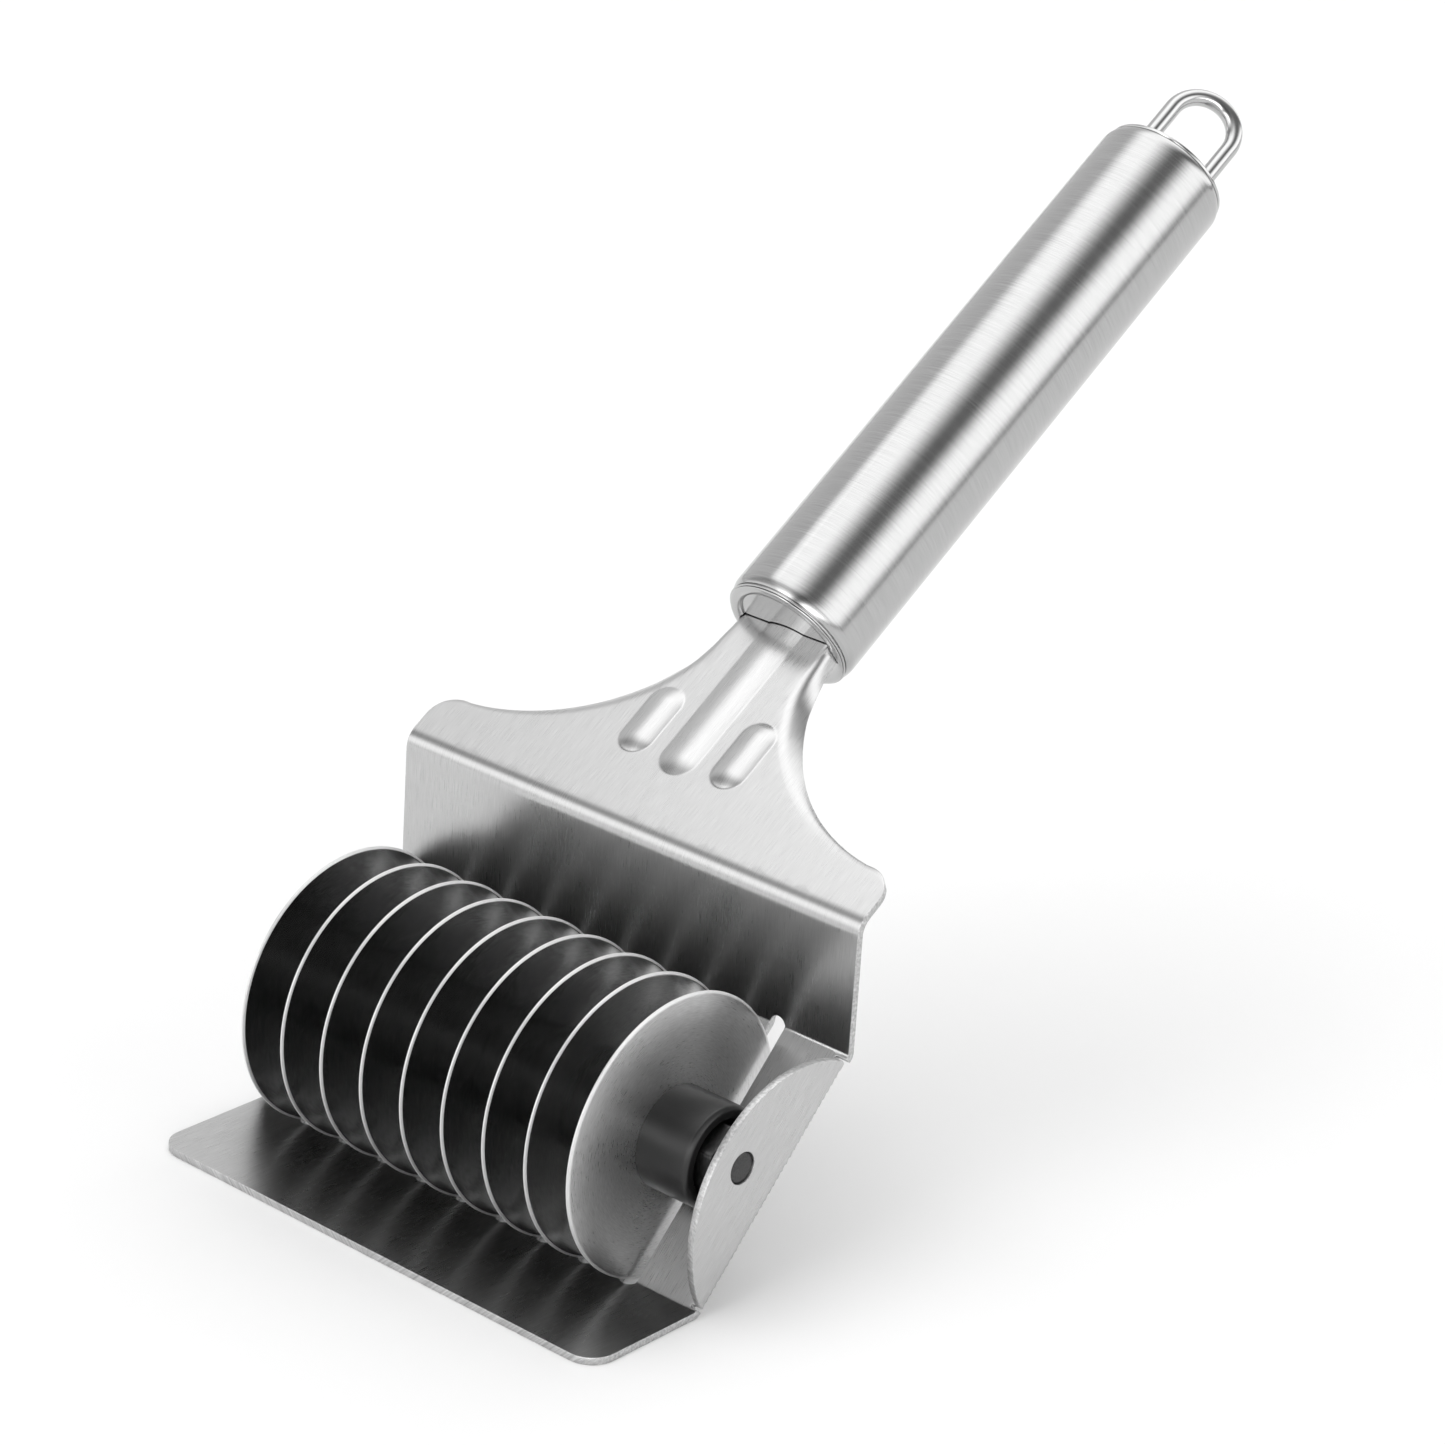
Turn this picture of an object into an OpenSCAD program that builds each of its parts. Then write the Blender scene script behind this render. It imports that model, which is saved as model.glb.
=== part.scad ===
// Hand-held roller cutter for noodle and pasta dough.
// A row of round cutters turns between the two ears of a bent sheet frame, on a tubular handle.
// X runs along the axle, Y from the front lip to the handle, Z up from the table.
// The origin is on the table, under the middle of the whole tool. All sizes are millimetres.

/* [Cutters] */
// Diameter of a round cutter
cutter_d = 45; // [44:0.5:45.5]
// Thickness of a cutter
cutter_t = 0.6; // [0.5:0.1:0.8]
// Width of the dough strip cut between two cutters
strip_w = 7.9; // [7.4:0.1:8]
// Width of the flat ground on each side of a cutter's edge
edge_w = 0.7; // [0.3:0.1:1]
// Outer diameter of the spacers and end collars
hub_d = 16.4; // [15:0.2:18]

/* [Axle] */
// Diameter of the rod through the cutters
rod_d = 6; // [5.6:0.1:6.4]
// Diameter of the journals that turn in the ears
journal_d = 5; // [4:0.1:5.2]
// Radial clearance of a journal in its ear
running_gap = 0.06; // [0.02:0.01:0.1]
// Width across the flats of the clamping nut
nut_flats = 10; // [9:0.1:10.4]
// Thickness of the clamping nut
nut_t = 5; // [4.5:0.1:5.2]

/* [Sheet frame] */
// Width over the ears
frame_w = 93.6; // [93:0.2:96]
// Thickness of the sheet
sheet_t = 1.2; // [1:0.1:1.4]
// Slope of the slotted floor above the lip
floor_angle = 46.5; // [45:0.5:47.5]
// Distance from the axle down to the floor's upper face
floor_to_axle = 9.2; // [9:0.1:9.6]
// Distance from the axle's foot back to the wall, along the floor
floor_back = 23.4; // [23:0.1:24.5]
// Height of the upright wall
wall_h = 21.3; // [19:0.1:24]
// Depth of the front lip
lip_len = 22.2; // [18:0.2:26]
// Width of the front lip
lip_w = 92.2; // [90:0.2:92.6]
// Width of the slot that each cutter runs through
slot_w = 2.8; // [2.4:0.1:3.2]
// Radius of the ears' round rim
ear_r = 22.3; // [22:0.1:23]

/* [Neck] */
// Slope of the neck and the handle
neck_angle = 33.5; // [31:0.5:36]
// Length of the neck from the crest to the handle
neck_len = 42.3; // [40:0.1:44]
// Radius of the neck's hollow sides
waist_r = 35.9; // [35:0.1:36.5]
// Width of the neck where it enters the handle
tang_w = 19.4; // [18.4:0.2:19.6]
// Depth of the turned-down edge of the neck
flange_depth = 3.2; // [2.4:0.1:3.6]

/* [Handle] */
// Outer diameter of the handle tube
handle_d = 22.8; // [22.4:0.1:24]
// Length of the handle from its front seam to its rear face
handle_len = 106.5; // [95:0.5:125]
// Diameter of the hanging loop's wire
wire_d = 2.8; // [2.4:0.1:3]
// Distance between the loop's two legs, centre to centre
loop_w = 11.5; // [10:0.1:11.6]
// How far the loop stands out of the handle
loop_out = 18; // [14:0.5:20]
// Turn of the loop about the handle's axis
loop_roll = 37; // [0:1:90]

/* [Hidden] */
cutter_count = 9;
$fn = 96;

steel = "#c9cbcc";
bright_steel = "#dfe1e2";
dark_steel = "#5b5c5e";
black_plastic = "#232323";

// Clearances and small sizes
seat_gap = 0.05;
end_play = 0.3;
nut_inset = 0.4;
journal_inset = 0.2;
over = 1;

// Cutter stack along X
axle_z = cutter_d / 2;
pitch = cutter_t + strip_w;
ear_inside = frame_w / 2 - sheet_t;
stack_left = end_play - ear_inside;
collar_len = 9.8;
first_cutter_x = stack_left + collar_len + cutter_t / 2;
stack_right = first_cutter_x + (cutter_count - 1) * pitch + cutter_t / 2 + collar_len;
nut_right = ear_inside - nut_inset;
nut_left = nut_right - nut_t;
collar_recess = stack_right - nut_left;
collar_recess_d = 12.6;
clamp_head_d = 11.6;
journal_end = frame_w / 2 - journal_inset;

// Corners of the sheet's upper face in side view, seen from the axle
lip_z = sheet_t - axle_z;
lip_corner_run = (floor_to_axle * cos(floor_angle) + lip_z) / sin(floor_angle);
lip_corner = floor_point(lip_corner_run);
wall_foot = floor_point(floor_back);
crest = wall_foot + [0, wall_h];
lip_front = lip_corner - [lip_len, 0];
tang_in = 14;
tang_end = crest + (neck_len + tang_in) * [cos(neck_angle), sin(neck_angle)];
fold_r = 0.8;
crest_r = 4;
fold_steps = 8;

// Outline of the neck, from the crest along the neck
shoulder_s = 9.9;
shoulder_r = 5;
waist_s = 45.5;
waist_root = 41.3;
flange_start = 9.9;
flange_full = 24;
lip_corner_r = 4.5;
ear_mid = 1.2;
ear_drop = 6.7;

// Pressed ribs on the neck
side_rib_w = 6.4;
side_rib_h = 0.8;
side_rib_x = 9.5;
side_rib_ends = [15.4, 22.4];
centre_rib_w = 7;
centre_rib_h = 0.65;
centre_rib_ends = [14.7, 47];

// Handle
axis_drop = 1;
tube_t = 0.6;
handle_r = handle_d / 2;
handle_front = crest + neck_len * [cos(neck_angle), sin(neck_angle)]
    + axis_drop * [sin(neck_angle), -cos(neck_angle)];
rear_cap_t = 0.8;
tube_len = handle_len - rear_cap_t;
rear_round = 1.6;
rear_round_r = 2.8;
round_steps = 10;
front_round = 1.8;
front_round_r = 3.5;
front_seam = 0.4;
front_face = 0.15;
front_face_r = 8.7;
rim_root = -0.2;
rim_dome = 0.5;
bead_step = 0.15;
front_plug = 2.5;
slot_gap = 0.2;
tang_flare = 0.8;
leg_in = 6;

// Middle of the whole tool along Y, which the origin stands under
loop_r = loop_w / 2;
loop_centre = handle_len + loop_out - wire_d / 2 - loop_r;
loop_reach = loop_r * norm([cos(neck_angle), sin(neck_angle) * sin(loop_roll)]) + wire_d / 2;
back_y = handle_front[0] + loop_centre * cos(neck_angle) + loop_reach;
middle_y = (lip_front[0] + back_y) / 2;

// A point on the floor's upper face, a distance along it from the axle's foot
function floor_point(run) =
    run * [cos(floor_angle), sin(floor_angle)] + floor_to_axle * [sin(floor_angle), -cos(floor_angle)];

// The direction to the left of a heading
function left_of(heading) = [-sin(heading), cos(heading)];

// Points of a fold at a corner, on the upper face or an offset below it. A negative radius folds down.
function fold(corner, from, to, radius, below) =
    let (half_turn = (to - from) / 2)
    let (centre = corner + radius / cos(half_turn) * left_of(from + half_turn))
    [for (k = [0 : fold_steps])
        centre - (radius + below) * left_of(from + 2 * half_turn * k / fold_steps)];

// One face of the bent sheet in side view
function sheet_face(below) = concat(
    [lip_front - below * left_of(0)],
    fold(lip_corner, 0, floor_angle, fold_r, below),
    fold(wall_foot, floor_angle, 90, fold_r, below),
    fold(crest, 90, neck_angle, -crest_r, below),
    [tang_end - below * left_of(neck_angle)]
);

function reversed(list) = [for (k = [len(list) - 1 : -1 : 0]) list[k]];

function cutter_x(index) = first_cutter_x + (index - 1) * pitch;

// Moves a shape made around the axle to its place in the part's own frame
module from_axle() {
    translate([0, -middle_y, axle_z])
        children();
}

// Turns a side view (Y, Z) into a solid of some width along X
module along_x(width) {
    rotate([90, 0, 90])
        linear_extrude(width, center = true)
            children();
}

// Y along the floor and Z off its upper face, from the axle
module on_floor() {
    rotate([floor_angle, 0, 0])
        children();
}

// Y along the neck from the crest and Z off its upper face
module on_neck() {
    translate([0, crest[0], crest[1]])
        rotate([neck_angle, 0, 0])
            children();
}

// Z along the handle from its front seam, on its axis
module on_handle() {
    translate([0, handle_front[0], handle_front[1]])
        rotate([neck_angle - 90, 0, 0])
            children();
}

// A round bar along X between two places
module bar_x(from, to, diameter) {
    translate([from, 0, 0])
        rotate([0, 90, 0])
            cylinder(d = diameter, h = to - from);
}

// Plan view of the neck: shoulders, waist and tang
module neck_plan() {
    translate([-frame_w / 2, 0])
        square([frame_w, shoulder_s - shoulder_r]);
    translate([shoulder_r - frame_w / 2, 0])
        square([frame_w - 2 * shoulder_r, shoulder_s]);
    for (side = [-1, 1])
        translate([side * (frame_w / 2 - shoulder_r), shoulder_s - shoulder_r])
            circle(shoulder_r);
    difference() {
        translate([-waist_root, 0])
            square([2 * waist_root, waist_s]);
        waist_circles(waist_r);
    }
    translate([-tang_w / 2, 0])
        square([tang_w, neck_len + tang_in]);
}

// The circles that the neck's hollow sides follow
module waist_circles(radius) {
    for (side = [-1, 1])
        translate([side * (tang_w / 2 + waist_r), waist_s])
            circle(radius, $fn = 180);
}

// Plan view of the turned-down edge
module flange_plan() {
    intersection() {
        neck_plan();
        waist_circles(waist_r + sheet_t);
    }
    for (side = [-1, 1])
        translate([side * (tang_w - sheet_t) / 2 - sheet_t / 2, waist_s])
            square([sheet_t, neck_len + tang_in - waist_s]);
}

// The turned-down edge, which fades out towards the shoulders
module neck_flange() {
    intersection() {
        translate([0, 0, -flange_depth])
            linear_extrude(flange_depth)
                flange_plan();
        along_x(frame_w)
            polygon([
                [flange_start, -sheet_t / 2],
                [flange_start, -sheet_t],
                [flange_full, -flange_depth],
                [neck_len + tang_in, -flange_depth],
                [neck_len + tang_in, -sheet_t / 2]
            ]);
    }
}

// A long round-ended body whose top stands out of the neck by a height
module rib_body(width, height, ends, shrink = 0) {
    radius = (width * width / 4 + height * height) / (2 * height);
    translate([0, 0, height - radius]) {
        translate([0, ends[0], 0])
            rotate([-90, 0, 0])
                cylinder(r = radius - shrink, h = ends[1] - ends[0]);
        for (end = ends)
            translate([0, end, 0])
                sphere(radius - shrink);
    }
}

// All three ribs, as the raised outside or the hollow underneath
module ribs(shrink = 0) {
    rib_body(centre_rib_w, centre_rib_h, centre_rib_ends, shrink);
    for (side = [-1, 1])
        translate([side * side_rib_x, 0, 0])
            rib_body(side_rib_w, side_rib_h, side_rib_ends, shrink);
}

// An ear that stands on the side of the floor and carries one end of the axle
module ear(side) {
    translate([side * (frame_w - sheet_t) / 2, 0, 0])
        on_floor()
            along_x(sheet_t)
                intersection() {
                    translate([ear_mid, -floor_to_axle - ear_drop])
                        circle(ear_r);
                    translate([ear_mid - ear_r, -floor_to_axle - sheet_t / 2])
                        square([2 * ear_r, ear_r]);
                }
}

// Cuts the lip to its own width with round front corners
module lip_trim() {
    flat = lip_w - 2 * lip_corner_r;
    front_y = lip_front[0];
    depth = lip_len - fold_r;
    difference() {
        translate([-frame_w, front_y - over, -axle_z - over])
            cube([2 * frame_w, depth + over, 3 * over]);
        translate([-lip_w / 2, front_y + lip_corner_r, -axle_z - 2 * over])
            cube([lip_w, depth, 5 * over]);
        translate([-flat / 2, front_y, -axle_z - 2 * over])
            cube([flat, depth + over, 5 * over]);
        for (side = [-1, 1])
            translate([side * flat / 2, front_y + lip_corner_r, -axle_z - 2 * over])
                cylinder(r = lip_corner_r, h = 5 * over);
    }
}

// Cuts the neck to its plan
module neck_trim() {
    start = shoulder_s - shoulder_r;
    translate([0, 0, -3 * over])
        linear_extrude(6 * over)
            difference() {
                translate([-frame_w, start])
                    square([2 * frame_w, neck_len + tang_in - start + over]);
                neck_plan();
            }
}

// The slot for one cutter, through the floor and round both folds
module cutter_slot() {
    along_x(slot_w)
        polygon([
            [lip_corner[0], -axle_z - over],
            [lip_corner[0], lip_z + 3 * over],
            [wall_foot[0] - 4 * over, wall_foot[1]],
            [wall_foot[0] + 4 * over, wall_foot[1]],
            [lip_corner[0] + 8 * over, -axle_z - over]
        ]);
    translate([0, lip_corner[0], -axle_z - over])
        cylinder(d = slot_w, h = 5 * over);
    translate([0, wall_foot[0] - 4 * over, wall_foot[1]])
        rotate([-90, 0, 0])
            cylinder(d = slot_w, h = 8 * over);
}

module frame_sheet() {
    color(steel)
    from_axle()
    difference() {
        union() {
            along_x(frame_w)
                polygon(concat(sheet_face(0), reversed(sheet_face(sheet_t))));
            on_neck() {
                neck_flange();
                intersection() {
                    ribs();
                    translate([-frame_w / 2, 0, -sheet_t / 2])
                        cube([frame_w, neck_len + tang_in, 3 * over]);
                }
            }
            for (side = [-1, 1])
                ear(side);
        }
        lip_trim();
        on_neck() {
            neck_trim();
            ribs(sheet_t);
        }
        for (index = [1 : cutter_count])
            translate([cutter_x(index), 0, 0])
                cutter_slot();
        bar_x(-frame_w, frame_w, journal_d + 2 * running_gap);
    }
}

// A rounding of a tube's radius, from full size to a given distance along its axis
function rounding(radius, round_r, length) =
    let (steepest = asin(length / round_r))
    [for (k = [0 : round_steps])
        let (turn = steepest * k / round_steps)
        [radius - round_r + round_r * cos(turn), round_r * sin(turn)]];

// The radius at the front seam
function seam_r(radius, round_r) = radius - round_r + sqrt(round_r * round_r - front_round * front_round);

// One wall of the handle tube in section, from the front seam to its rounded rear end
function tube_wall(radius, front_r, rear_r) = concat(
    [for (point = reversed(rounding(radius, front_r, front_round)))
        [point[0], front_seam + front_round - point[1]]],
    [for (point = rounding(radius, rear_r, rear_round))
        [point[0], tube_len - rear_round + point[1]]]
);

module handle_tube() {
    color(bright_steel)
    from_axle()
    on_handle()
        rotate_extrude()
            polygon(concat(
                tube_wall(handle_r, front_round_r, rear_round_r),
                reversed(tube_wall(handle_r - tube_t, front_round_r - tube_t, rear_round_r - tube_t))
            ));
}

// Room for the neck's tang, cut through the front cap
module tang_slot() {
    width = tang_w + tang_flare + 2 * slot_gap;
    start = neck_len - 2 * over;
    length = front_plug + 3 * over;
    translate([-width / 2, start, -sheet_t - slot_gap])
        cube([width, length, sheet_t + 2 * slot_gap]);
    for (side = [-1, 1])
        translate([side * (width - sheet_t - 3 * slot_gap) / 2, start + length / 2, -flange_depth / 2])
            cube([sheet_t + 3 * slot_gap, length, flange_depth + 2 * slot_gap], center = true);
    intersection() {
        rib_body(centre_rib_w, centre_rib_h, centre_rib_ends, -slot_gap);
        translate([-centre_rib_w, start, 0])
            cube([2 * centre_rib_w, length, 2 * over]);
    }
}

module handle_front_cap() {
    bead_r = seam_r(handle_r, front_round_r);
    rim_r = bead_r - bead_step;
    rim_mid = (rim_r + front_face_r) / 2;
    plug_r = seam_r(handle_r - tube_t, front_round_r - tube_t) - seat_gap;
    rim_top = [for (k = [1 : round_steps - 1])
        let (turn = 180 - 180 * k / round_steps)
        let (share = k / round_steps)
        [
            rim_mid + (rim_r - rim_mid) * cos(turn),
            front_face + (rim_root - front_face) * share - rim_dome * sin(turn)
        ]];
    color(bright_steel)
    from_axle()
    difference() {
        on_handle()
            rotate_extrude()
                polygon(concat(
                    [[0, front_face], [front_face_r, front_face]],
                    rim_top,
                    [
                        [rim_r, rim_root],
                        [bead_r, rim_root + bead_step],
                        [bead_r, front_seam],
                        [plug_r, front_seam],
                        [plug_r, front_plug],
                        [0, front_plug]
                    ]
                ));
        on_neck()
            tang_slot();
    }
}

module handle_rear_cap() {
    end_r = handle_r - rear_round_r + sqrt(rear_round_r * rear_round_r - rear_round * rear_round);
    bead = 0.3;
    color(bright_steel)
    from_axle()
    on_handle()
        difference() {
            rotate_extrude()
                polygon([
                    [0, tube_len],
                    [end_r, tube_len],
                    [end_r, handle_len - bead],
                    [end_r - bead, handle_len],
                    [0, handle_len]
                ]);
            rotate([0, 0, loop_roll])
                for (side = [-1, 1])
                    translate([side * loop_r, 0, tube_len - over])
                        cylinder(d = wire_d + 2 * seat_gap, h = rear_cap_t + 2 * over);
        }
}

module hanging_loop() {
    color(steel)
    from_axle()
    on_handle()
    rotate([0, 0, loop_roll]) {
        for (side = [-1, 1])
            translate([side * loop_r, 0, handle_len - leg_in])
                cylinder(d = wire_d, h = loop_centre - handle_len + leg_in);
        translate([0, 0, loop_centre])
            rotate([90, 0, 0])
                rotate_extrude(angle = 180)
                    translate([loop_r, 0])
                        circle(d = wire_d, $fn = 48);
    }
}

// Rod with a clamping head at the left and a turned-down journal at each end
module axle() {
    color(dark_steel)
    from_axle() {
        bar_x(-journal_end, journal_end, journal_d);
        bar_x(stack_left, nut_right, rod_d);
        bar_x(stack_left, stack_left + collar_recess, clamp_head_d);
    }
}

module cutter_disc(index) {
    radius = cutter_d / 2;
    bore_r = rod_d / 2 + seat_gap;
    edge_t = cutter_t / 3;
    color(bright_steel)
    from_axle()
    translate([cutter_x(index), 0, 0])
        rotate([0, 90, 0])
            rotate_extrude($fn = 180)
                polygon([
                    [bore_r, -cutter_t / 2],
                    [radius - edge_w, -cutter_t / 2],
                    [radius, -edge_t / 2],
                    [radius, edge_t / 2],
                    [radius - edge_w, cutter_t / 2],
                    [bore_r, cutter_t / 2]
                ]);
}

module disc_spacer(index) {
    left = cutter_x(index) + cutter_t / 2;
    color(black_plastic)
    from_axle()
    difference() {
        bar_x(left, left + strip_w, hub_d);
        bar_x(left - over, left + strip_w + over, rod_d + 2 * seat_gap);
    }
}

// End collar that starts at the stack, with its recess and chamfer at the outer end
module collar(inner_x, side) {
    chamfer = 0.6;
    radius = hub_d / 2;
    color(black_plastic)
    from_axle()
    translate([inner_x, 0, 0])
        rotate([0, side * 90, 0])
            rotate_extrude()
                polygon([
                    [rod_d / 2 + seat_gap, 0],
                    [radius, 0],
                    [radius, collar_len - chamfer],
                    [radius - chamfer, collar_len],
                    [collar_recess_d / 2, collar_len],
                    [collar_recess_d / 2, collar_len - collar_recess],
                    [rod_d / 2 + seat_gap, collar_len - collar_recess]
                ]);
}

module left_collar() {
    collar(stack_left + collar_len, -1);
}

module right_collar() {
    collar(stack_right - collar_len, 1);
}

module axle_nut() {
    color(dark_steel)
    from_axle()
    difference() {
        translate([nut_left, 0, 0])
            rotate([0, 90, 0])
                cylinder(r = nut_flats / sqrt(3), h = nut_t, $fn = 6);
        bar_x(nut_left - over, nut_right + over, rod_d + 2 * seat_gap);
    }
}

frame_sheet();
handle_tube();
handle_front_cap();
handle_rear_cap();
hanging_loop();
axle();
for (i = [1 : cutter_count])
    cutter_disc(i);
for (i = [1 : cutter_count - 1])
    disc_spacer(i);
left_collar();
right_collar();
axle_nut();
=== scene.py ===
import math
import bpy
import bmesh
import numpy as np
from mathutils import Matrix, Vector, geometry


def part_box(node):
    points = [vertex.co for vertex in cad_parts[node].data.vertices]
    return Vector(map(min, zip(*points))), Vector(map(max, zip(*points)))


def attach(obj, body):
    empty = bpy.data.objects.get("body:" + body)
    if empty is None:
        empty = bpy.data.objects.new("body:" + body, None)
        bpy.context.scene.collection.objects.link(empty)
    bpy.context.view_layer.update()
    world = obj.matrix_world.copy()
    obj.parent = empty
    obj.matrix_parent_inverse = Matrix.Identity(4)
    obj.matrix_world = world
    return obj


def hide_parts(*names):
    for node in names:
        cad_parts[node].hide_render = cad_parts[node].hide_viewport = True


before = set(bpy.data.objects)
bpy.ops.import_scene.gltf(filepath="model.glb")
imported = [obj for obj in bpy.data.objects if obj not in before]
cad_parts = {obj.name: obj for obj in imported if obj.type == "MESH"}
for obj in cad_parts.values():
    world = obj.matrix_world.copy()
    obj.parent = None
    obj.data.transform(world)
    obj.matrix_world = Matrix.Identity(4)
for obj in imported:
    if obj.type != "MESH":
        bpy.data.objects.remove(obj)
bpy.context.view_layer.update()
scene = bpy.context.scene
MM = 0.001
rad = math.radians

# Where the axle lies in the row frame. Everything below is in millimetres from it.
axle_low, axle_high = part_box("axle")
AXLE = (axle_low + axle_high) / 2 / MM

# Sheet sizes
FRAME_W, SHEET_T = 93.6, 1.2
FLOOR_ANGLE, FLOOR_TO_AXLE, FLOOR_BACK = 46.5, 9.2, 23.4
WALL_H, LIP_LEN, LIP_W, SLOT_W, EAR_RIM = 21.3, 22.2, 92.2, 2.8, 22.3
NECK_ANGLE, NECK_LEN, TANG_IN, TANG_W = 33.5, 42.3, 14.0, 19.4
WAIST_R, WAIST_S, SHOULDER_S, SHOULDER_R = 35.9, 45.5, 9.9, 5.0
FOLD_R, CREST_R, LIP_ROUND, EDGE_R = 0.8, 4.0, 4.5, 0.12
EAR_FOLD_R = 0.5
EAR_FOLD_X = FRAME_W / 2 - EAR_FOLD_R - SHEET_T
EAR_MID, EAR_DROP = 1.2, 6.7
EAR_FRONT, EAR_BACK = 19.74, 22.2       # how far the ear's foot runs before and behind the axle
EAR_HOLE_R = 2.56
EAR_CORNER_X, EAR_CORNER_R = 44.95, 0.25
PITCH, CUTTER_T, CUTTER_R = 8.5, 0.6, 22.5
CUTTERS = [-35.2 + PITCH * i for i in range(9)]
# Ribs: middle, width, height, first and last centre along the neck
RIBS = [(0.0, 7.0, 0.65, 14.7, 47.0), (-9.5, 6.4, 0.8, 15.4, 22.4), (9.5, 6.4, 0.8, 15.4, 22.4)]


def heading(h):
    return np.array([math.cos(h), math.sin(h)])


def left(h):
    return np.array([-math.sin(h), math.cos(h)])


# ---------------------------------------------------------------- side path of the sheet's upper face
lip_z = SHEET_T - CUTTER_R
th, na = rad(FLOOR_ANGLE), rad(NECK_ANGLE)
corner_run = (FLOOR_TO_AXLE * math.cos(th) + lip_z) / math.sin(th)
lip_corner = corner_run * heading(th) - FLOOR_TO_AXLE * left(th)
wall_foot = FLOOR_BACK * heading(th) - FLOOR_TO_AXLE * left(th)
crest = wall_foot + [0, WALL_H]
lip_front = lip_corner - [LIP_LEN, 0]
t1 = FOLD_R * math.tan(th / 2)
t2 = FOLD_R * math.tan((math.pi / 2 - th) / 2)
t3 = CREST_R * math.tan((math.pi / 2 - na) / 2)

PATH = []
p, h, u = np.array(lip_front), 0.0, 0.0
for length, turn, radius in [
    (LIP_LEN - t1, 0, 0), (0, th, FOLD_R),
    (FLOOR_BACK - corner_run - t1 - t2, 0, 0), (0, math.pi / 2 - th, FOLD_R),
    (WALL_H - t2 - t3, 0, 0), (0, na - math.pi / 2, CREST_R),
    (NECK_LEN + TANG_IN - t3, 0, 0),
]:
    if turn:
        r = math.copysign(radius, turn)
        PATH.append((u, p, h, r))
        centre = p + r * left(h)
        h = h + turn
        p = centre - r * left(h)
        u += radius * abs(turn)
    else:
        PATH.append((u, p, h, 0))
        p = p + length * heading(h)
        u += length
U = [part[0] for part in PATH] + [u]
_, U_A, U_B, U_C, U_D, U_E, U_F, U_END = U


def path_at(us):
    us = np.asarray(us, float)
    y, z, hh = np.zeros_like(us), np.zeros_like(us), np.zeros_like(us)
    for i, (u0, p0, h0, r) in enumerate(PATH):
        top = U[i + 1] if i < len(PATH) - 1 else 1e9
        m = (us >= (u0 if i else -1e9)) & (us < top)
        d = us[m] - u0
        if r:
            a = h0 + d / r
            c = p0 + r * left(h0)
            y[m], z[m], hh[m] = c[0] + r * np.sin(a), c[1] - r * np.cos(a), a
        else:
            y[m], z[m], hh[m] = p0[0] + d * math.cos(h0), p0[1] + d * math.sin(h0), h0
    return y, z, hh


def u_of_run(run):
    return U_B + run - corner_run - t1


def u_of_neck(s):
    return U_F + s - t3


EAR_U0, EAR_U1 = u_of_run(-EAR_FRONT), u_of_run(EAR_BACK)


def bent(x, us, z):
    """Points of the flat blank (across, along, off its upper face) on the bent sheet, in row metres."""
    x, us, z = (np.asarray(v, float) for v in (x, us, z))
    y, zz, hh = path_at(us)
    side, q = np.sign(x), np.abs(x) - EAR_FOLD_X
    ear = (us > EAR_U0 - 0.02) & (us < EAR_U1 + 0.02) & (q > 0)
    phi = np.where(ear, np.clip(q / EAR_FOLD_R, 0, math.pi / 2), 0)
    up = EAR_FOLD_R * (1 - np.cos(phi)) + np.where(ear, np.maximum(q - EAR_FOLD_R * math.pi / 2, 0), 0)
    out = np.where(ear, EAR_FOLD_X + EAR_FOLD_R * np.sin(phi), np.abs(x))
    height = up + z * np.cos(phi)
    xx = side * out - side * z * np.sin(phi)
    pts = np.stack([xx, y - height * np.sin(hh), zz + height * np.cos(hh)], -1)
    return (pts + np.array(AXLE)) * MM


def ear_q(height):
    """How far from the fold's start a height on the ear lies in the flat blank."""
    if height < EAR_FOLD_R:
        return EAR_FOLD_R * math.acos(1 - height / EAR_FOLD_R)
    return EAR_FOLD_R * math.pi / 2 + height - EAR_FOLD_R


def rib_height(x, us):
    s = np.asarray(us) - U_F + t3
    out = np.zeros_like(s)
    for cx, w, hh, e0, e1 in RIBS:
        d = np.hypot(x - cx, s - np.clip(s, e0, e1))
        ball = (w * w / 4 + hh * hh) / (2 * hh)
        f = np.sqrt(np.maximum(ball * ball - d * d, 0)) - (ball - hh)
        out = out + np.where(d < w * 0.8, 0.5 * (f + np.sqrt(f * f + 0.0008)), 0)
    return out


# ---------------------------------------------------------------- outline of the flat blank
def span(a, b, step):
    n = max(2, int(math.ceil(abs(b - a) / step)) + 1)
    return [a + (b - a) * i / (n - 1) for i in range(n)]


def arc(cx, cy, r, a0, a1, n):
    turns = [rad(a0 + (a1 - a0) * i / (n - 1)) for i in range(n)]
    return [(cx + r * math.cos(a), cy + r * math.sin(a)) for a in turns]


ROWS_1 = [U_A + (U_B - U_A) * i / 8 for i in range(9)]
ROWS_2 = [U_C + (U_D - U_C) * i / 8 for i in range(9)]
ROWS_3 = [U_E + (U_F - U_E) * i / 16 for i in range(17)]
half_lip, half = LIP_W / 2, FRAME_W / 2
right = [(x, 0) for x in span(0, half_lip - LIP_ROUND, 1.4)]
right += arc(half_lip - LIP_ROUND, LIP_ROUND, LIP_ROUND, -90, 0, 12)[1:]
right += [(half_lip, v) for v in span(LIP_ROUND, U_A, 1.3)[1:]] + [(half_lip, v) for v in ROWS_1[1:]]
right += [(45.5, U_B + 0.03), (45.2, U_B + 0.04)] + arc(EAR_CORNER_X, U_B + 0.29, EAR_CORNER_R, -90, -270, 9)
right += [(EAR_FOLD_X + EAR_FOLD_R * math.pi / 2 * i / 5, EAR_U0) for i in range(6)]
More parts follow.
